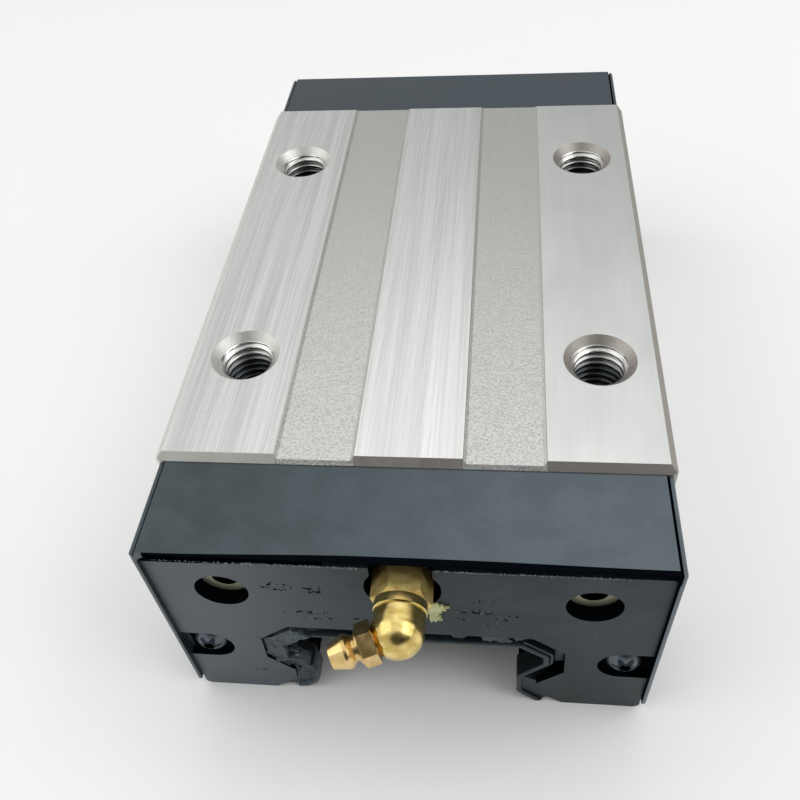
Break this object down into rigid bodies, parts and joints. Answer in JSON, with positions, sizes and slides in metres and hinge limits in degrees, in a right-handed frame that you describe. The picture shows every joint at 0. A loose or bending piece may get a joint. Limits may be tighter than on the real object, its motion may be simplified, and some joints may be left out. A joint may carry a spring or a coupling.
{
  "type": "linear roller guide carriage",
  "caption": "Square roller guide carriage with a drilled and tapped steel body, black end caps, sealing lips and an elbow grease nipple.",
  "frame": {"origin": "centre of the four table bolts, in the ground top face that the table rests on", "axes": "+Z out of the ground top face, +Y along the rail towards the plugged end cap, +X to the right when seen from the nipple end (the nipple end faces -Y)"},
  "size_m": [0.1, 0.1876, 0.0578],
  "materials": {
    "ground_steel": "ground top and sides, fine lengthwise lay",
    "hardened_steel": "hardened and polished",
    "cage_plastic": "moulded, satin",
    "guide_plastic": "moulded, satin",
    "cap_plastic": "moulded, fine matt texture",
    "plate_black": "black coated sheet steel, scuffed",
    "seal_rubber": "dull, dusty",
    "black_steel": "black oxide",
    "bush_brass": "dull, tarnished",
    "fitting_brass": "bright turned",
    "spring_wire": "drawn wire"
  },
  "bodies": {
    "carriage": {"bottom_seal_left": "seal_rubber", "bottom_seal_right": "seal_rubber", "front_cap_screws": "black_steel", "front_end_cap": "cap_plastic", "front_end_seal": "seal_rubber", "front_face_plate": "plate_black", "front_port_bushes": "bush_brass", "front_return_guide_left": "guide_plastic", "front_return_guide_right": "guide_plastic", "grease_elbow": "fitting_brass", "grease_nipple": "fitting_brass", "inner_seal_left": "seal_rubber", "inner_seal_right": "seal_rubber", "lower_retainer_left": "guide_plastic", "lower_retainer_right": "guide_plastic", "middle_retainer_left": "guide_plastic", "middle_retainer_right": "guide_plastic", "nipple_spring": "spring_wire", "rear_cap_screws": "black_steel", "rear_end_cap": "cap_plastic", "rear_end_seal": "seal_rubber", "rear_face_plate": "plate_black", "rear_grease_plug": "black_steel", "rear_port_bushes": "bush_brass", "rear_return_guide_left": "guide_plastic", "rear_return_guide_right": "guide_plastic", "return_tube_lower_left": "guide_plastic", "return_tube_lower_right": "guide_plastic", "return_tube_upper_left": "guide_plastic", "return_tube_upper_right": "guide_plastic", "roller_cage_lower_left": "cage_plastic", "roller_cage_lower_right": "cage_plastic", "roller_cage_upper_left": "cage_plastic", "roller_cage_upper_right": "cage_plastic", "rollers_lower_left": "hardened_steel", "rollers_lower_right": "hardened_steel", "rollers_upper_left": "hardened_steel", "rollers_upper_right": "hardened_steel", "steel_block": "ground_steel", "upper_retainer_left": "guide_plastic", "upper_retainer_right": "guide_plastic"},
    "check_ball": {"nipple_ball": "hardened_steel"}
  },
  "joints": [
    {"name": "nipple_ball_slide", "type": "slide", "parent": "carriage", "child": "check_ball", "axis": [0.9244, 0.3486, 0.1547], "range_m": [0, 0.0008], "stiffness_N_per_m": 300, "springref_m": -0.001, "deforming": ["nipple_spring"]}
  ]
}
